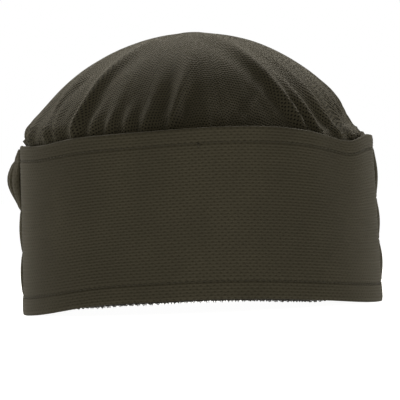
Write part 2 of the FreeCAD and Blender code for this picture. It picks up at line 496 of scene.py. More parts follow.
def settle(cut, sewn, hold, frames, gather, air, loop=False):
    """Where a sheet's points come to rest. cut is the grid as the cloth was cut, sewn the same
    grid as it hangs in the cap, and hold is 1 where it is sewn down and 0 elsewhere. The held
    points go from one to the other in the first frames, which gather counts."""
    mesh = grid_mesh("settling_cloth", cut * SETTLING_SCALE, loop)[0]
    piece = bpy.data.objects.new("settling_cloth", mesh)
    scene = bpy.context.scene
    scene.collection.objects.link(piece)
    piece.shape_key_add(name="cut")
    drawn_in = piece.shape_key_add(name="sewn")
    drawn_in.data.foreach_set("co", (sewn * SETTLING_SCALE).astype(np.float32).reshape(-1))
    for frame, share in ((1, 0.0), (gather, 1.0)):
        drawn_in.value = share
        drawn_in.keyframe_insert("value", frame=frame)
    group = piece.vertex_groups.new(name="held")
    group.add(np.nonzero(hold.reshape(-1))[0].tolist(), 1.0, "REPLACE")
    cloth = piece.modifiers.new("settle", "CLOTH")
    rules = cloth.settings
    for name, value in CLOTH_RULES.items():
        setattr(rules, name, value)
    rules.tension_stiffness = SETTLING_PULL
    rules.compression_stiffness = SETTLING_PULL
    rules.bending_stiffness = SETTLING_BEND
    rules.vertex_group_mass = "held"
    rules.effector_weights.gravity = 0.0
    rules.use_pressure = air > 0
    rules.uniform_pressure_force = air
    cloth.point_cache.frame_end = frames
    for frame in range(1, frames + 1):
        scene.frame_set(frame)
    settled = piece.evaluated_get(bpy.context.evaluated_depsgraph_get())
    places = np.empty(cut.size, dtype=np.float32)
    settled.to_mesh().vertices.foreach_get("co", places)
    scene.frame_set(1)
    bpy.data.objects.remove(piece)
    return places.reshape(cut.shape).astype(float) / SETTLING_SCALE


print("settling ready")

# %% [markdown]
# ## The forehead band
#
# Three plies stand one behind the other. The outer one is a ribbed double knit whose ribs run
# level round the band, so its surface really swells with each rib, and it rolls over at the top.

# %% Sway that all plies of the front share
RIM_LEANS = [(1.12, 0.16, 1.3), (0.86, 0.14, -0.9)]
RIM_DIPS = [(1.04, 0.15, -1.8), (0.98, 0.30, -3.0), (-1.08, 0.24, -1.8)]
RIM_CORNERS = [(SEAM, 0.25, 2.6), (-SEAM, 0.2, 0.9)]
HEM_LIFT = [(-0.62, 0.3, 1.1)]
FOREHEAD_DIP = 1.9 * MM
FOOT_TUCK = 1.2 * MM


def front_sway(azimuth, height):
    """How far the stiffened front leans out of its neat ellipse, and how its edges rise and dip."""
    up = np.clip(height / BAND_HEIGHT, 0, 1)
    lean = 0.5 * MM * np.sin(3.1 * azimuth + 0.8) * up
    lean = lean + 0.35 * MM * np.sin(7.0 * azimuth + 2.0 + 2.5 * up)
    lean = lean + bumps(azimuth, RIM_LEANS) * up**3
    lean = lean - FOOT_TUCK * np.sin(azimuth) ** 2 * (1 - up)
    dip = bumps(azimuth, RIM_DIPS) + 0.4 * MM * np.sin(5.0 * azimuth)
    dip = dip - 0.5 * MM - FOREHEAD_DIP * np.clip(np.cos(azimuth), 0, 1) ** 2
    return lean, dip * up**2 + bumps(azimuth, HEM_LIFT) * (1 - up) ** 2


def front_point(azimuth, height, depth):
    """A point of a front ply, by its height and depth, with the sway of the real cloth."""
    lean, dip = front_sway(azimuth, height)
    side = FOOT_TUCK * (1 - np.clip(height / BAND_HEIGHT, 0, 1))
    from_seam = (SEAM - np.abs(azimuth)) * FOOT_HALF_DEPTH
    hold = np.clip(from_seam / (12 * MM), 0, 1) ** 0.5
    drop = 1.2 * MM * np.clip(1 - from_seam / (2.5 * MM), 0, 1) ** 2
    drop = drop + bumps(azimuth, RIM_CORNERS)
    drop = drop * np.clip((height - 0.7 * BAND_HEIGHT) / (0.3 * BAND_HEIGHT), 0, 1)
    inset = depth - lean * hold + side * (1 - hold) + tuck(from_seam)
    return band_point(azimuth, height + dip * hold - drop, inset)


def arc_length(points, axis):
    """Metres run along one axis of a grid of points, from its first line."""
    steps = np.linalg.norm(np.diff(points, axis=axis), axis=-1)
    start = np.zeros_like(np.take(steps, [0], axis=axis))
    return np.concatenate([start, np.cumsum(steps, axis=axis)], axis=axis)


def front_ply(name, depth, low, high, thickness, finish, ribs=0.0, roll=0.0, columns=240, rows=60):
    """One ply of the front. ribs is how high its ribs stand, and roll the radius of the turn over
    its top edge. The rows of stitches sink a little into a ribbed ply."""
    height = np.linspace(low, high - roll, rows)
    inset = np.full(rows, depth)
    if ribs:
        inset = inset - ribs * (0.5 + 0.5 * np.cos(2 * np.pi * height / RIB))
        for row in (HEM_ROW, BAND_HEIGHT - FRONT_ROW_DEPTH):
            inset = inset + 0.40 * MM * bell(height, row, 0.7 * MM)
        inset = inset + 0.25 * MM * bell(height, 0, 0.8 * MM)
    if roll:
        turn = np.linspace(0, np.pi, 9)[1:]
        height = np.concatenate([height, high - roll + roll * np.sin(turn), [high - 3 * roll]])
        inset = np.concatenate([inset, depth + roll * (1 - np.cos(turn)), [depth + 2 * roll]])
    azimuth = seam_columns(-SEAM, SEAM, columns)
    grid = front_point(azimuth[None, :], height[:, None], inset[:, None])
    along = arc_length(grid, 1)
    along = np.broadcast_to(along[len(height) // 2], along.shape)
    across = np.broadcast_to(height[:, None], along.shape)
    return cloth_sheet(name, grid, along, across, thickness, finish)


RIB_COUNT = round(BAND_HEIGHT / RIB)
front_outer = front_ply(
    "front_outer_knit", 0.0, 0.0, BAND_HEIGHT, KNIT_PLY * 0.8, band_knit,
    ribs=0.11 * MM, roll=1.0 * MM, columns=220, rows=5 * RIB_COUNT,
)
front_stiffener = front_ply(
    "front_stiffener_felt", KNIT_PLY, 6 * MM, BAND_HEIGHT - 6 * MM, STIFFENER_PLY * 0.9,
    stiffener_felt,
)
front_facing = front_ply(
    "front_facing_knit", KNIT_PLY + STIFFENER_PLY, 0.0, BAND_HEIGHT - 1.2 * MM, KNIT_PLY * 0.9,
    band_knit,
)
print("front plies", [len(p.data.polygons) for p in (front_outer, front_facing)])

# %% [markdown]
# ## The sweatband
#
# A strip of terry lines the forehead. Its lower edge is overlocked and hangs a hair below the
# band in front, where it shows as a fuzzy line. Its pile is real relief: every point of a fine
# grid stands out by its own small amount.

# %% Terry sweatband
SWEATBAND_REACH = 1.06
SWEATBAND_HEIGHT = 32 * MM
PILE = 0.35 * MM


def sweatband_edge(azimuth):
    """The height of the sweatband's lower edge: below the band in front, above it at the ends. The
    loops of the terry make it a little uneven."""
    uneven = 0.3 * np.sin(240 * azimuth) * np.sin(97 * azimuth)
    return (uneven - 0.75 + 2.6 * np.clip((np.abs(azimuth) - 0.5) / 0.4, 0, 1) ** 2) * MM


def terry_strip(columns=330, rows=56):
    azimuth = np.linspace(-SWEATBAND_REACH, SWEATBAND_REACH, columns)[None, :]
    share = np.linspace(0, 1, rows)[:, None]
    height = sweatband_edge(azimuth) * (1 - share) + SWEATBAND_HEIGHT * share
    pile = np.random.default_rng(3).random((rows, columns)) * PILE
    depth = FRONT_LINING + SWEATBAND_PLY * 0.8 + pile - 1.1 * MM * bell(share, 1, 0.04)
    grid = front_point(azimuth, height, depth)[:, ::-1]
    along = np.broadcast_to(arc_length(grid, 1)[rows // 2], grid.shape[:2])
    across = np.broadcast_to(SWEATBAND_HEIGHT * share, grid.shape[:2])
    return cloth_sheet("terry_sweatband", grid, along, across, SWEATBAND_PLY * 0.7, band_terry)


sweatband = terry_strip()
print("sweatband", len(sweatband.data.polygons), "faces")

# %% [markdown]
# ## The elastic back
#
# The back's two plies are cut longer than the elastic between them. Four rows of stitching hold
# them to it, and between the rows the spare cloth puffs out in short upright folds. The outer ply
# is settled as cloth, because its folds are what one sees; the hidden plies are simply drawn.

# %% Puffs between rows of stitching
BACK_TOP = BAND_HEIGHT - BACK_DROP
BACK_ROWS = [HEM_ROW, 30 * MM, 50 * MM, BACK_TOP - BACK_ROW_DEPTH]
BACK_SPARE = 0.2
# the fuller puffs just behind the side seams, a big one high on the right (-X) side: azimuth,
# height, how far up and down it reaches, and how far it stands out
SIDE_PUFFS = [(-1.78, 65 * MM, 13 * MM, 7.9 * MM), (1.78, 60 * MM, 8 * MM, 0.8 * MM)]
SIDE_PUFF_SPREAD = 0.16


def between_rows(height):
    """0 at each row of stitching, 1 half way between two rows, and a little at the free edges."""
    knots = np.array([-8 * MM] + BACK_ROWS + [BACK_TOP + 8 * MM])
    place = np.interp(height, knots, np.arange(len(knots)))
    calm = np.clip(np.minimum(height - 4 * MM, BACK_TOP - height) / (6 * MM), 0.15, 1)
    return np.sin(np.pi * (place % 1.0)) ** 1.4 * calm


def back_puff(azimuth, height):
    """How far the gathered cloth stands out from the elastic before it settles."""
    folds = 0.5 + 0.5 * np.sin(46 * azimuth + 1.6 * np.sin(9 * azimuth) + 40 * height)
    finer = 0.5 + 0.5 * np.sin(83 * azimuth + 2.1 * np.sin(5 * azimuth + 3))
    return (0.3 + 1.5 * folds + 0.5 * finer) * MM * between_rows(height)


def side_puff(azimuth, height):
    """How far the fuller puffs stand out."""
    return sum(stand * bell(azimuth, middle, SIDE_PUFF_SPREAD) * bell(height, level, reach)
               for middle, level, reach, stand in SIDE_PUFFS)


def back_grid(depth, low, high, outward, columns, rows, fuller=0.0):
    """Points of a back ply and their azimuths. outward is how much of the puffs it shows, and
    fuller how much wider than its place the cloth is."""
    azimuth = seam_columns(QUARTER, 3 * QUARTER, columns)
    signed = np.where(azimuth > np.pi, azimuth - 2 * np.pi, azimuth)[None, :]
    height = np.linspace(low, high, rows)[:, None]
    from_seam = (QUARTER - np.abs(azimuth - np.pi))[None, :] * FOOT_HALF_DEPTH
    end = np.clip(from_seam / (6 * MM), 0, 1) ** 0.7
    foot = 1.2 * MM * (1 - np.clip(height / BAND_HEIGHT, 0, 1)) * np.sin(signed) ** 2
    inset = depth + foot + tuck(from_seam) - back_puff(signed, height) * outward * end
    grid = band_point(azimuth[None, :], height, inset)
    grid[..., :2] *= 1 + fuller
    return grid, signed, height


def back_ply(name, depth, low, high, thickness, finish, outward, columns=300, rows=60):
    """A flat or gently gathered ply of the back, as it is drawn."""
    grid, azimuth, height = back_grid(depth, low, high, outward, columns, rows)
    along = np.broadcast_to(arc_length(grid, 1)[rows // 2], grid.shape[:2])
    across = np.broadcast_to(height, grid.shape[:2])
    return cloth_sheet(name, grid, along, across, thickness, finish)


def back_casing(columns=280, rows=44):
    """The outer ply, cut wider than the elastic, sewn to it along four rows, and settled."""
    sewn, azimuth, height = back_grid(0.0, 0.0, BACK_TOP, 1.0, columns, rows)
    cut = back_grid(0.0, 0.0, BACK_TOP, 0.6, columns, rows, BACK_SPARE)[0]
    hold = np.zeros(sewn.shape[:2])
    for row in BACK_ROWS:
        hold[np.argmin(np.abs(height - row))] = 1.0
    hold[:, [0, -1]] = 1.0
    hold[[0, -1]] = 1.0
    grid = sewn
    started = time.time()
    grid = settle(cut, sewn, hold, frames=32, gather=14, air=12.0)
    print("back casing settled in %.1f s" % (time.time() - started))
    away = grid[..., :2] / np.linalg.norm(grid[..., :2], axis=-1, keepdims=True)
    grid[..., :2] += away * side_puff(azimuth, height)[..., None]
    along = np.broadcast_to(arc_length(cut, 1)[rows // 2], grid.shape[:2])
    across = np.broadcast_to(height, grid.shape[:2])
    return cloth_sheet("back_casing_knit", grid, along, across, KNIT_PLY * 0.8, band_knit)


back_outer = back_casing()
back_inner = back_ply(
    "back_casing_lining", KNIT_PLY + ELASTIC_PLY, 0.0, BACK_TOP, KNIT_PLY * 0.9, band_knit, -0.4,
)
back_elastic = back_ply(
    "back_elastic_strip", KNIT_PLY, 10 * MM, 70 * MM, ELASTIC_PLY * 0.9, elastic_web, 0.0,
    columns=160, rows=50,
)
print("back plies", len(back_outer.data.polygons))

# %% [markdown]
# ## The crown
#
# The crown is one round mesh panel, longer round its edge than the band it is sewn into. The
# spare cloth stands up in folds that are narrow at the seam and fade out over the dome. It is
# drawn as a dome with folds, laid out flat as it was cut, and gathered back by the cloth solver.
# The solver alone would put its folds anywhere and lean to one side, so afterwards the broad shape
# is drawn back to the dome, and the main folds are stood up again where they belong.

# %% The dome and its folds
CROWN_TOP = 131.4 * MM
CROWN_RADIUS = 88.9 * MM
CROWN_SHIFT = -3.1 * MM
CROWN_LEAN = 2.5 * MM
CROWN_STRETCH = 1.149
CROWN_SPARE = 0.8
CROWN_CREASE = 0.8
FOLD_HOLLOW = 2.6 * MM
PUCKER = 0.35 * MM
STRONG_FOLD = 2.5
SETTLED_SHARE = 0.4
STRONG_SHARE = 0.9
SLIGHT_SHARE = 0.8
RIDGE_WIDTH = 1.75 * MM
RIDGE_VALLEY = 0.4
RIDGE_REACH = 1.15
FOREHEAD_SAG = 1.6 * MM
CROWN_OPENING = math.acos((BAND_HEIGHT - CROWN_TOP + CROWN_RADIUS) / CROWN_RADIUS)
CROWN_MIDDLE = BAND_HEIGHT - CROWN_RADIUS * math.cos(CROWN_OPENING)
# the folds across the forehead: azimuth at the seam in degrees, how high each stands in
# millimetres, how far up it reaches in millimetres, and how many degrees it leans per centimetre
FRONT_FOLDS = [
    (-84, 1.6, 18, -2.0),
    (-71, 2.2, 24, -2.0),
    (-59.7, 2.0, 38, -2.3),
    (-53.5, 1.8, 34, -3.0),
    (-46, 3.0, 46, 0.0),
    (-38, 1.2, 16, 0.5),
    (-31.6, 1.5, 22, 0.5),
    (-24.2, 1.2, 16, 0.0),
    (-18, 1.8, 26, 1.0),
    (-10.3, 2.8, 44, 1.8),
    (4, 0.9, 18, 0.5),
    (10, 1.9, 26, 6.5),
    (41.4, 3.2, 50, -1.6),
    (48.6, 2.2, 34, -1.8),
    (57.7, 2.2, 32, -0.9),
    (64.8, 2.0, 28, 2.2),
    (70, 1.8, 24, 4.5),
    (80, 1.5, 20, 3.0),
]
# where the foot of the crown is fuller or drawn in: how far it stands out in millimetres, how far
# up the dome and over what reach in millimetres, and its azimuth and spread
CROWN_SWELLS = [
    (1.7, 8, 8, -1.5, 0.5),
    (1.2, 0, 5, -1.5, 0.5),
    (-1.6, 0, 12, 1.57, 0.3),
    (3.0, 3, 6, 1.2, 0.25),
    (3.0, 3, 6, -1.2, 0.25),
]
FOREHEAD_SWELL = 1.2 * MM
SEAM_DROPS = [(1.15, 0.42, 3.2), (-1.15, 0.4, 1.4)]
SEAM_FLARES = [(1.25, 0.2, 1.4), (-1.25, 0.2, 0.9)]


def back_folds():
    """Folds for the rest of the crown, spaced and sized like those in front."""
    draw = random.Random(7)
    folds = []
    azimuth = 90.0
    while azimuth < 268:
        folds.append((azimuth, draw.uniform(1.4, 3.0), draw.uniform(18, 44), draw.uniform(-2, 2)))
        azimuth += draw.uniform(6, 12)
    return folds


def whole_turn(azimuth):
    """The same azimuth, from minus a half turn to a half turn."""
    return (azimuth + np.pi) % (2 * np.pi) - np.pi


def beside_fold(azimuth, up, middle, lean):
    """How far points lie from a fold's ridge, in metres round the dome, plus where it is left."""
    centre = np.radians(middle + lean * up / (10 * MM))
    parallel = CROWN_RADIUS * np.sin(CROWN_OPENING - up / CROWN_RADIUS)
    return whole_turn(azimuth - centre) * parallel


def fold_crest(azimuth, up, middle, reach, lean):
    """One fold, 1 high along its ridge at the seam and dying out up the dome and to its sides. It
    leans away from the forehead, so it is steeper on its far side."""
    beside = beside_fold(azimuth, up, middle, lean)
    away = np.sqrt(beside**2 + (0.4 * MM) ** 2)
    steep = beside * middle > 0
    width = np.where(steep, 1.5 * MM + 0.03 * up, 2.8 * MM + 0.05 * up)
    return np.exp(-away / width) * bell(up, 0, reach * MM)


def crisp_ridge(azimuth, up, middle, reach, lean):
    """A narrow rounded ridge, 1 high at the seam, with a shallow valley along either side. The
    valley towards the forehead is the deeper one."""
    away = beside_fold(azimuth, up, middle, lean) * np.sign(middle)
    width = RIDGE_WIDTH + 0.035 * up
    inner = RIDGE_VALLEY * bell(away, -2.1 * width, 1.3 * width)
    outer = 0.5 * RIDGE_VALLEY * bell(away, 2.1 * width, 1.3 * width)
    return (bell(away, 0, width) - inner - outer) * bell(up, 0, reach * MM)


def crown_relief(azimuth, up):
    """How far the cloth stands out of the smooth dome. up is metres up the dome from the seam."""
    spare = np.ones(np.broadcast(azimuth, up).shape)
    height = np.zeros_like(spare)
    for middle, stand, reach, lean in FRONT_FOLDS + back_folds():
        crest = fold_crest(azimuth, up, middle, reach, lean)
        spare = spare * (1 - crest)
        height = np.maximum(height, crest * stand * MM)
    hollow = FOLD_HOLLOW * np.exp(-((up / (20 * MM)) ** 2))
    pucker = PUCKER * np.sin(azimuth * 96 + 2 * np.sin(azimuth * 13)) * np.exp(-up / (6 * MM))
    return height - hollow * spare + pucker


def crown_shift(up):
    """The dome leans: how far its middle lies to one side, up metres above the seam."""
    lean = CROWN_LEAN * np.clip((up - 15 * MM) / (59 * MM), 0, 1)
    return (CROWN_SHIFT + lean) * np.clip(up / (8 * MM), 0, 1)


def rim_drop(azimuth):
    """How far the seam drops where the rim dips, in front of both side seams."""
    return bumps(whole_turn(azimuth), SEAM_DROPS)


def crown_angles(rings, columns):
    """Azimuths round the dome, and tilts from its top axis, from the seam to just off the top."""
    azimuth = np.linspace(-np.pi, np.pi, columns, endpoint=False)[None, :]
    tilt = (CROWN_OPENING * np.linspace(1, 0.004, rings))[:, None]
    return azimuth, tilt


def crown_grid(azimuth, tilt):
    """The crown's outer face, from its seam up to the top."""
    up = CROWN_RADIUS * (CROWN_OPENING - tilt)
    relief = crown_relief(azimuth, up)
    relief = relief + FOREHEAD_SWELL * bell(up, 9 * MM, 9 * MM) * np.clip(np.cos(azimuth), 0, 1)
    for stand, level, reach, middle, spread in CROWN_SWELLS:
        swell = stand * MM * bell(up, level * MM, reach * MM) * bell(azimuth, middle, spread)
        relief = relief + swell
    radius = CROWN_RADIUS + relief
    x = crown_shift(up) + radius * np.sin(tilt) * np.sin(azimuth)
    y = -radius * CROWN_STRETCH * np.sin(tilt) * np.cos(azimuth)
    z = CROWN_MIDDLE + radius * np.cos(tilt) - rim_drop(azimuth) * bell(up, 0, 14 * MM)
    return np.stack(np.broadcast_arrays(x, y, z), axis=-1)


def crown_as_cut(grid, azimuth, tilt, skirt_rows):
    """The same cloth before it was gathered: each ring as much longer as a flat panel's would be,
    with its rings as far apart as on the dome."""
    round_x = CROWN_RADIUS * np.sin(tilt) * np.sin(azimuth)
    round_y = -CROWN_RADIUS * CROWN_STRETCH * np.sin(tilt) * np.cos(azimuth)
    round_z = CROWN_RADIUS * np.cos(tilt) + 0 * azimuth
    spare = 1 + CROWN_SPARE * (tilt / np.sin(tilt) - 1)
    x = round_x * spare
    y = round_y * spare
    apart = sum(np.diff(part, axis=0) ** 2 for part in (round_x, round_y, round_z))
    level = np.diff(x, axis=0) ** 2 + np.diff(y, axis=0) ** 2
    climb = np.sqrt(np.maximum((apart - level).mean(axis=1, keepdims=True), 1e-12))
    z = np.concatenate([np.zeros((1, 1)), np.cumsum(climb, axis=0)]) + 0 * azimuth
    crease = CROWN_CREASE * crown_relief(azimuth, CROWN_RADIUS * (CROWN_OPENING - tilt))
    x = x + crease * np.sin(tilt) * np.sin(azimuth)
    y = y - crease * np.sin(tilt) * np.cos(azimuth)
    z = z + crease * np.cos(tilt)
    dome = np.stack([x, y, z], axis=-1)
    gaps = np.linalg.norm(np.diff(grid[:skirt_rows + 1], axis=0), axis=-1)
    drop = np.cumsum(gaps[::-1], axis=0)[::-1]
    skirt = np.repeat(dome[:1], skirt_rows, axis=0)
    skirt[..., 2] -= drop
    return np.concatenate([skirt, dome])


def broad(values, finest=6):
    """Values round the dome, smoothed so that hardly any change repeats more than finest times."""
    waves = np.fft.rfft(values, axis=1)
    waves *= np.exp(-((np.arange(waves.shape[1]) / finest) ** 2))
    return np.fft.irfft(waves, values.shape[1], axis=1)


def dome_radius(dome, up):
    """How far points lie from the dome's centre, with its stretch taken out, and which way."""
    centre = np.array([0, 0, CROWN_MIDDLE])
    centre = centre + crown_shift(up)[..., None] * np.array([1, 0, 0])
    away = (dome - centre) / np.array([1, CROWN_STRETCH, 1])
    radius = np.linalg.norm(away, axis=-1)
    return centre, radius, away / radius[..., None]


def round_out(settled, drawn, azimuth, rings):
    """Softens the settled folds, draws the broad shape back to the dome, stands the folds up again
    as crisp ridges, and lets the cloth sag a little over the forehead."""
    up = CROWN_RADIUS * CROWN_OPENING * np.linspace(0, 0.99, rings)[:, None]
    centre, radius, way = dome_radius(settled, up)
    folds = broad(radius - broad(radius), 80)
    radius = SETTLED_SHARE * folds + broad(dome_radius(drawn, up)[1])
    rising = np.clip(up / (3 * MM), 0, 1)
    for middle, stand, reach, lean in FRONT_FOLDS + back_folds():
        crest = crisp_ridge(azimuth, up, middle, RIDGE_REACH * reach, lean)
        strength = STRONG_SHARE if stand > STRONG_FOLD else SLIGHT_SHARE
        radius = radius + crest * strength * stand * MM * rising
    sag = bell(azimuth, 0.24, 0.30) * bell(up, 14 * MM, 22 * MM)
    radius = radius - FOREHEAD_SAG * sag * rising
    return centre + way * radius[..., None] * np.array([1, CROWN_STRETCH, 1])


def close_to_rim(grid, azimuth, skirt_rows):
    """Pushes the allowance and the seam out to the band where its front corners flare."""
    above = np.clip(np.arange(len(grid)) - skirt_rows, 0, None)[:, None]
    push = bumps(azimuth, SEAM_FLARES) * bell(above, 0, 3)
    return grid + push[..., None] * np.stack([np.sin(azimuth), -np.cos(azimuth), 0 * azimuth], -1)


def crown_panel(rings=66, columns=300, skirt_rows=5):
    """The crown with its allowance, which hangs upright inside the band."""
    azimuth, tilt = crown_angles(rings, columns)
    dome = crown_grid(azimuth, tilt)
    skirt_heights = np.linspace(CROWN_FOOT, BAND_HEIGHT - 1.5 * MM, skirt_rows)[:, None]
    skirt = band_point(azimuth, skirt_heights, CROWN_DEPTH)
    skirt[..., 2] = skirt_heights - rim_drop(azimuth)
    grid = np.concatenate([skirt, dome])
    started = time.time()
    hold = np.zeros(grid.shape[:2])
    hold[:skirt_rows + 1] = 1.0
    cut = crown_as_cut(grid, azimuth, tilt, skirt_rows)
    grid = settle(cut, grid, hold, frames=50, gather=18, air=20.0, loop=True)
    grid[skirt_rows + 1:] = round_out(grid[skirt_rows:], dome, azimuth, rings)[1:]
    print("crown settled in %.1f s" % (time.time() - started))
    grid = close_to_rim(grid, azimuth, skirt_rows)
    grid[-1] = grid[-1].mean(axis=0)
    run = arc_length(grid, 0)
    reach = run[-1].mean() - run
    flat_x = reach * np.sin(azimuth)
    flat_y = -reach * np.cos(azimuth)
    return cloth_sheet("crown_mesh_panel", grid, flat_x, flat_y, CROWN_PLY * 0.7, crown_mesh, True)


crown = crown_panel()
print("crown", len(crown.data.polygons), "faces, size", [round(d, 4) for d in crown.dimensions])

# %% [markdown]
# ## Threads
#
# Every row of sewing is a row of separate stitches. One short rounded length of thread is modelled
# and copied along the row, turned to follow it. Raw edges are overlocked, so there a small ring of
# thread goes round the cloth again and again.

# %% One stitch and one overlock loop
def as_arrays(piece):
    """A piece's vertices and faces as arrays; the piece itself is thrown away."""
    vertices = np.array([v.co[:] for v in piece.data.vertices])
    faces = [tuple(f.vertices) for f in piece.data.polygons]
    bpy.data.objects.remove(piece)
    return vertices, faces


def one_stitch(length, girth):
    """A rounded bar of thread along X, thinner towards its ends."""
    bpy.ops.object.select_all(action="DESELECT")
    bpy.ops.mesh.primitive_uv_sphere_add(segments=8, ring_count=6, radius=0.5)
    bpy.ops.object.mode_set(mode="EDIT")
    bpy.ops.mesh.select_all(action="SELECT")
    bpy.ops.transform.resize(value=(length, girth, girth))
    bpy.ops.object.mode_set(mode="OBJECT")
    return as_arrays(bpy.context.object)


def one_loop(tall, wide, girth):
    """A ring of thread round an edge, in the plane of Y and Z."""
    bpy.ops.object.select_all(action="DESELECT")
    bpy.ops.mesh.primitive_torus_add(
        major_segments=10, minor_segments=5, major_radius=0.5, minor_radius=0.5 * girth / wide,
        rotation=(0, QUARTER, 0),
    )
    bpy.ops.object.transform_apply(location=False, rotation=True, scale=False)
    bpy.ops.object.mode_set(mode="EDIT")
    bpy.ops.mesh.select_all(action="SELECT")
    bpy.ops.transform.resize(value=(wide, tall, wide))
    bpy.ops.object.mode_set(mode="OBJECT")
    return as_arrays(bpy.context.object)


def spaced(path, step):
    """Points at an even step along a path of points, and the path's heading at each."""
    run = arc_length(path, 0)
    count = max(int(run[-1] / step), 2)
    stops = (np.arange(count) + 0.5) * run[-1] / count

    def at(places):
        return np.stack([np.interp(places, run, path[:, k]) for k in range(3)], axis=-1)

    heading = at(stops + 0.3 * step) - at(stops - 0.3 * step)
    return at(stops), heading / np.linalg.norm(heading, axis=-1, keepdims=True)


def copy_along(name, template, path, step, finish, slant=0.0):
    """Copies a template along a path. Its X follows the path, turned by a slant in radians, and
    its Z looks out of the cap."""
    vertices, faces = template
    points, heading = spaced(path, step)
    out = points - np.array([0, 0, 45 * MM])
    out = out - heading * (out * heading).sum(axis=-1, keepdims=True)
    out[:, 2] *= 0.1
    out = out / np.linalg.norm(out, axis=-1, keepdims=True)
    side = np.cross(out, heading)
    forward = heading * math.cos(slant) + side * math.sin(slant)
    side = np.cross(out, forward)
    turned = (vertices[None, :, :1] * forward[:, None] + vertices[None, :, 1:2] * side[:, None]
              + vertices[None, :, 2:] * out[:, None])
    places = (points[:, None] + turned).reshape(-1, 3)
    count = len(vertices)
    copied = [tuple(v + k * count for v in face) for k in range(len(points)) for face in faces]
    mesh = bpy.data.meshes.new(name)
    mesh.from_pydata(places.tolist(), [], copied)
    mesh.shade_smooth()
    piece = bpy.data.objects.new(name, mesh)
    bpy.context.scene.collection.objects.link(piece)
    piece.data.materials.append(finish)
    return piece


STITCH = one_stitch(2.3 * MM, 0.42 * MM)
STITCH_STEP = 2.8 * MM
FINE_STITCH = one_stitch(1.8 * MM, 0.36 * MM)
print("a stitch has", len(STITCH[1]), "faces")

# %% Rows of stitches
def sewn_name(node):
    """A row's own name, from that of the CAD node that it replaces."""
    for one, many in (("stitch", "stitches"), ("tack", "tacks"), ("overlock", "overlock_loops")):
        node = node.replace(one, many)
    return node


def stitch_row(node, path):
    return copy_along(sewn_name(node), STITCH, path, STITCH_STEP, seam_thread)


def front_row(node, height, depth, reach):
    """A level row across the front."""
    azimuth = np.linspace(-reach, reach, 400)
    return stitch_row(node, front_point(azimuth, height, depth))


def back_row(node, height):
    """A level row across the back, proud of the cloth, from seam to seam."""
    reach = QUARTER - 0.012
    azimuth = np.linspace(np.pi - reach, np.pi + reach, 400)
    foot = FOOT_TUCK * (1 - height / BAND_HEIGHT) * np.sin(azimuth) ** 2
    return stitch_row(node, band_point(azimuth, height, foot - 0.15 * MM))


def upright_row(node, azimuth, low, high, point):
    """A row that climbs beside a seam. point places it, on the front or on the back."""
    height = np.linspace(low, high, 60)
    return stitch_row(node, point(azimuth, height, -0.12 * MM))


FRONT_ROW = BAND_HEIGHT - FRONT_ROW_DEPTH
SWEATBAND_ROW = 31 * MM
SIDE_ROW = QUARTER - 3.3 * MM / FOOT_HALF_DEPTH
END_ROW = QUARTER + 9.3 * MM / FOOT_HALF_DEPTH
SIDES = ((-1, "right"), (1, "left"))
front_threads = {}
back_threads = {}
for node, height, depth, reach in (
    ("front_top_edge_stitch", FRONT_ROW, 0.02 * MM, SEAM - 0.01),
    ("front_hem_stitch", HEM_ROW, 0.02 * MM, SEAM - 0.01),
    ("sweatband_upper_stitch", SWEATBAND_ROW, FRONT_LINING + SWEATBAND_PLY, 1.05),
):
    front_threads[node] = front_row(node, height, depth, reach)
for side, hand in SIDES:
    node = "side_seam_stitch_" + hand
    front_threads[node] = upright_row(
        node, side * SIDE_ROW, HEM_ROW + 1.2 * MM, FRONT_ROW - 1 * MM, front_point)
back_nodes = ("back_hem_stitch", "back_shirring_stitch_lower", "back_shirring_stitch_upper",
              "back_top_edge_stitch")
for node, height in zip(back_nodes, BACK_ROWS):
    back_threads[node] = back_row(node, height)
for side, hand in SIDES:
    node = "elastic_end_tack_" + hand
    back_threads[node] = upright_row(
        node, side * END_ROW, BACK_ROWS[1] + 1.2 * MM, BACK_ROWS[2] - 0.6 * MM, band_point)
print("rows", len(front_threads) + len(back_threads))

# %% A knot and a loose end
def joined(piece, other):
    """Makes one piece of two."""
    bpy.ops.object.select_all(action="DESELECT")
    piece.select_set(True)
    other.select_set(True)
    bpy.context.view_layer.objects.active = piece
    bpy.ops.object.join()


KNOT_PLACE = front_point(0.006, BAND_HEIGHT - 8.4 * MM, 0.0)
KNOT_LOOP = one_loop(1.5 * MM, 0.9 * MM, 0.45 * MM)
knot_path = KNOT_PLACE + np.arange(5)[:, None] * np.array([0.25, 0, -0.1]) * MM
knot = copy_along("knot", KNOT_LOOP, knot_path, 0.5 * MM, seam_thread, 0.5)
joined(front_threads["front_top_edge_stitch"], knot)
# the loose end's bends, in millimetres from the lower right corner of the front
LOOSE_END = [(0.5, -0.4, 0.8), (1.8, -1.2, 0.35), (3.2, -2.0, 0.25), (4.4, -1.6, 0.25),
             (5.6, -2.4, 0.7)]
end_path = front_point(0.03 - SEAM, 0.0, 0.3 * MM) + np.array(LOOSE_END) * MM
loose_end = copy_along("loose_end", FINE_STITCH, end_path, 1.3 * MM, seam_thread)
joined(front_threads["front_hem_stitch"], loose_end)
print("knot and loose end joined on")

# %% Overlocked edges and the crown's seam
def overlocked(node, tall, wide, girth, path, step, slant=0.3):
    """Rings of thread round a cloth's edge: their size, their thread, and their step along it."""
    loop = one_loop(tall, wide, girth)
    return copy_along(sewn_name(node), loop, path, step, edge_thread, slant)


def ring_path(height, depth, count=700):
    """A path round the inside of the band that dips with the crown's seam."""
    azimuth = np.linspace(-np.pi, np.pi, count)
    path = band_point(azimuth, height, depth)
    path[:, 2] = height - rim_drop(azimuth)
    return path


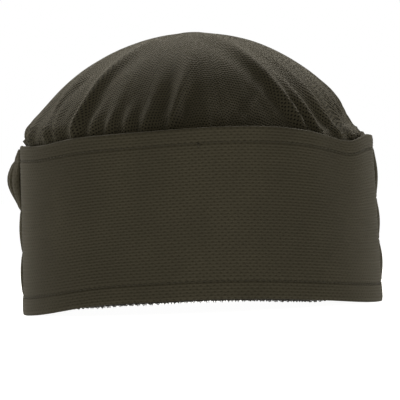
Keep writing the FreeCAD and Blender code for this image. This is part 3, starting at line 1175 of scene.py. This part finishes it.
crown_threads = {
    "crown_seam_stitch": copy_along(
        "crown_seam_stitches", FINE_STITCH,
        ring_path(80.5 * MM, CROWN_DEPTH + CROWN_PLY + 0.1 * MM), 2.6 * MM, seam_thread),
    "crown_seam_overlock": overlocked(
        "crown_seam_overlock", 2.6 * MM, 1.1 * MM, 0.32 * MM,
        ring_path(CROWN_FOOT - 0.1 * MM, CROWN_DEPTH + 0.35 * MM), 1.5 * MM, 0.35),
}
edge_azimuth = np.linspace(-SWEATBAND_REACH, SWEATBAND_REACH, 400)
edge_path = front_point(
    edge_azimuth, sweatband_edge(edge_azimuth) + 0.7 * MM, FRONT_LINING + 0.75 * MM)
front_threads["sweatband_overlock"] = overlocked(
    "sweatband_overlock", 2.4 * MM, 1.7 * MM, 0.34 * MM, edge_path, 1.15 * MM)
side_height = np.linspace(3 * MM, 68 * MM, 80)
for side, hand in SIDES:
    node = "side_seam_overlock_" + hand
    path = front_point(
        side * (QUARTER - 3 * MM / FOOT_HALF_DEPTH), side_height, FRONT_LINING + 1.0 * MM)
    front_threads[node] = overlocked(node, 2.6 * MM, 1.2 * MM, 0.34 * MM, path, 1.3 * MM)
print("threads", len(front_threads), len(back_threads), len(crown_threads))

# %% [markdown]
# ## The care label
#
# A blank satin label hangs inside the nape from a short row of stitches, and curls a little.

# %% Care label
LABEL_REACH = 0.18
LABEL_TOP = 62 * MM
LABEL_DROP = 24 * MM


def care_label(columns=24, rows=18):
    """The label hangs close to the lining and curls away from it towards its free end."""
    azimuth = np.linspace(np.pi - LABEL_REACH, np.pi + LABEL_REACH, columns)[None, :]
    share = np.linspace(0, 1, rows)[:, None]
    height = LABEL_TOP - LABEL_DROP * share
    curl = 1.6 * MM * share**2 + 0.5 * MM * np.sin(6 * share) * np.cos((azimuth - np.pi) * 14)
    grid = band_point(azimuth, height, BACK_LINING + 0.35 * MM + np.maximum(curl, 0))
    along = arc_length(grid, 1)
    across = arc_length(grid, 0)
    return cloth_sheet("care_label_satin", grid, along, across, 0.25 * MM, label_satin)


label = care_label()
label_row = band_point(np.linspace(np.pi - 0.17, np.pi + 0.17, 60), LABEL_TOP - 1.6 * MM,
                       BACK_LINING + 0.75 * MM)
back_threads["care_label_stitch"] = copy_along(
    "care_label_stitches", FINE_STITCH, label_row, 2.4 * MM, seam_thread)
print("label", [round(d, 4) for d in label.dimensions])

# %% [markdown]
# ## Joining the frame
# The front is the part that keeps its shape, so its pieces simply ride on it. Everything behind
# the side seams is left where it is drawn, with its place baked into its mesh. Each piece hides
# the CAD part that it replaces. All of them stretch between the
# same two planes, so neighbours stay sewn together.

# %% Ride
def on_front(piece, node, slot):
    """Moves with the front."""
    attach(piece, "front")
    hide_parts(node)


def on_back(piece, node, slot):
    """Stays where it is drawn, with its place baked into its mesh."""
    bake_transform(piece)
    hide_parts(node)


def thread_slot(node):
    return "overlock_thread" if "overlock" in node else "stitch_thread"


on_front(front_outer, "front_band_outer", "band_knit")
on_front(front_stiffener, "front_band_stiffener", "stiffener")
on_front(front_facing, "front_band_facing", "band_knit")
on_front(sweatband, "sweatband", "terry")
on_back(back_outer, "back_casing_outer", "band_knit")
on_back(back_inner, "back_casing_inner", "band_knit")
on_back(back_elastic, "back_elastic", "elastic")
on_back(crown, "crown_panel", "crown_mesh")
on_back(label, "care_label", "label")
for node, piece in front_threads.items():
    on_front(piece, node, thread_slot(node))
for node, piece in {**back_threads, **crown_threads}.items():
    on_back(piece, node, thread_slot(node))

# %% [markdown]
# ## Floor, light and camera
#
# Dark cloth shows its folds only where light rakes over it, so three soft boxes stand behind and
# above, and a dim room lights the front. The floor and the backdrop are plain white. The camera
# stands far off with a long lens, low and level, and is rolled by the little that the cap leans.

# %% Studio
SENSOR = 36
CAMERA_AWAY = 3.0
CAMERA_SIDE = 1.8 * MM
CAMERA_HEIGHT = 80 * MM
CAMERA_TARGET = 51.4 * MM
CAMERA_ROLL = math.radians(2.3)
PICTURE_WIDTH = 191.2 * MM
WHITE = (1.0, 1.0, 1.0, 1.0)
WARM_WHITE = (1.0, 0.955, 0.86, 1.0)
ROOM_LIGHT = 0.08
FRONT_LIGHT = 0.62
FLOOR_GLOW = 0.97


def pale_room():
    """A white backdrop that lights the cap softly, more from the front than from the sides."""
    room = Finish(bpy.data.worlds.new("pale_room"))
    place = room.wire("TexCoord", "Generated")
    split = room.node("SeparateXYZ", None, {"Vector": place})
    forward = Wire(room, split.outputs["Y"]) * -1.0
    ahead = forward.maths("MAXIMUM", forward, 0.0)
    strength = ROOM_LIGHT + FRONT_LIGHT * ahead ** 2
    glow = room.node("Background", None, {"Color": WARM_WHITE, "Strength": strength})
    backdrop = room.node("Background", None, {"Color": WHITE, "Strength": 1.0})
    seen = room.wire("LightPath", "Is Camera Ray")
    mixed = room.node("MixShader", None, {"Fac": seen})
    room.tree.links.new(glow.outputs[0], mixed.inputs[1])
    room.tree.links.new(backdrop.outputs[0], mixed.inputs[2])
    return room.end(mixed, "OutputWorld")


def pale_floor():
    """A white floor bright enough to hide its own shadows. It lights the band from below."""
    bpy.ops.object.select_all(action="DESELECT")
    bpy.ops.mesh.primitive_circle_add(vertices=64, radius=6.0, fill_type="NGON")
    floor = bpy.context.object
    floor.name = "pale_floor"
    finish = new_finish("pale_floor")
    floor.data.materials.append(finish.shade(
        base_color=(0.3, 0.3, 0.3, 1.0), roughness=1.0,
        emission_color=WHITE, emission_strength=FLOOR_GLOW))


def studio():
    """The room, the floor and the camera."""
    bpy.context.scene.view_settings.view_transform = "Standard"
    bpy.context.scene.world = pale_room()
    pale_floor()
    camera_data = bpy.data.cameras.new("camera")
    camera = bpy.data.objects.new("camera", camera_data)
    bpy.context.scene.collection.objects.link(camera)
    camera_data.sensor_width = SENSOR
    camera_data.lens = SENSOR * CAMERA_AWAY / PICTURE_WIDTH
    camera_data.clip_end = 20
    camera.location = (CAMERA_SIDE, -CAMERA_AWAY, CAMERA_HEIGHT)
    fall = math.atan2(CAMERA_HEIGHT - CAMERA_TARGET, CAMERA_AWAY)
    aim = Matrix.Rotation(QUARTER - fall, 4, "X")
    camera.matrix_world = (
        Matrix.Translation(camera.location) @ Matrix.Rotation(CAMERA_ROLL, 4, "Y") @ aim
    )
    bpy.context.scene.camera = camera


def lamp(name, place, aim, size, power):
    """A rectangular soft box that looks from its place towards its aim. power is in watts."""
    data = bpy.data.lights.new(name, "AREA")
    data.shape = "RECTANGLE"
    data.size, data.size_y = size
    data.energy = power
    data.color = WARM_WHITE[:3]
    light = bpy.data.objects.new(name, data)
    bpy.context.scene.collection.objects.link(light)
    facing = (Vector(aim) - Vector(place)).to_track_quat("-Z", "Y")
    light.matrix_world = Matrix.Translation(place) @ facing.to_matrix().to_4x4()


studio()
lamp("top_softbox", (0, 0.95, 0.80), (0, 0, 0.08), (1.0, 0.4), 9.0)
lamp("left_softbox", (-0.55, 0.62, 0.75), (0, 0, 0.07), (0.4, 0.4), 7.0)
lamp("right_softbox", (0.55, 0.62, 0.75), (0, 0, 0.07), (0.4, 0.4), 6.5)
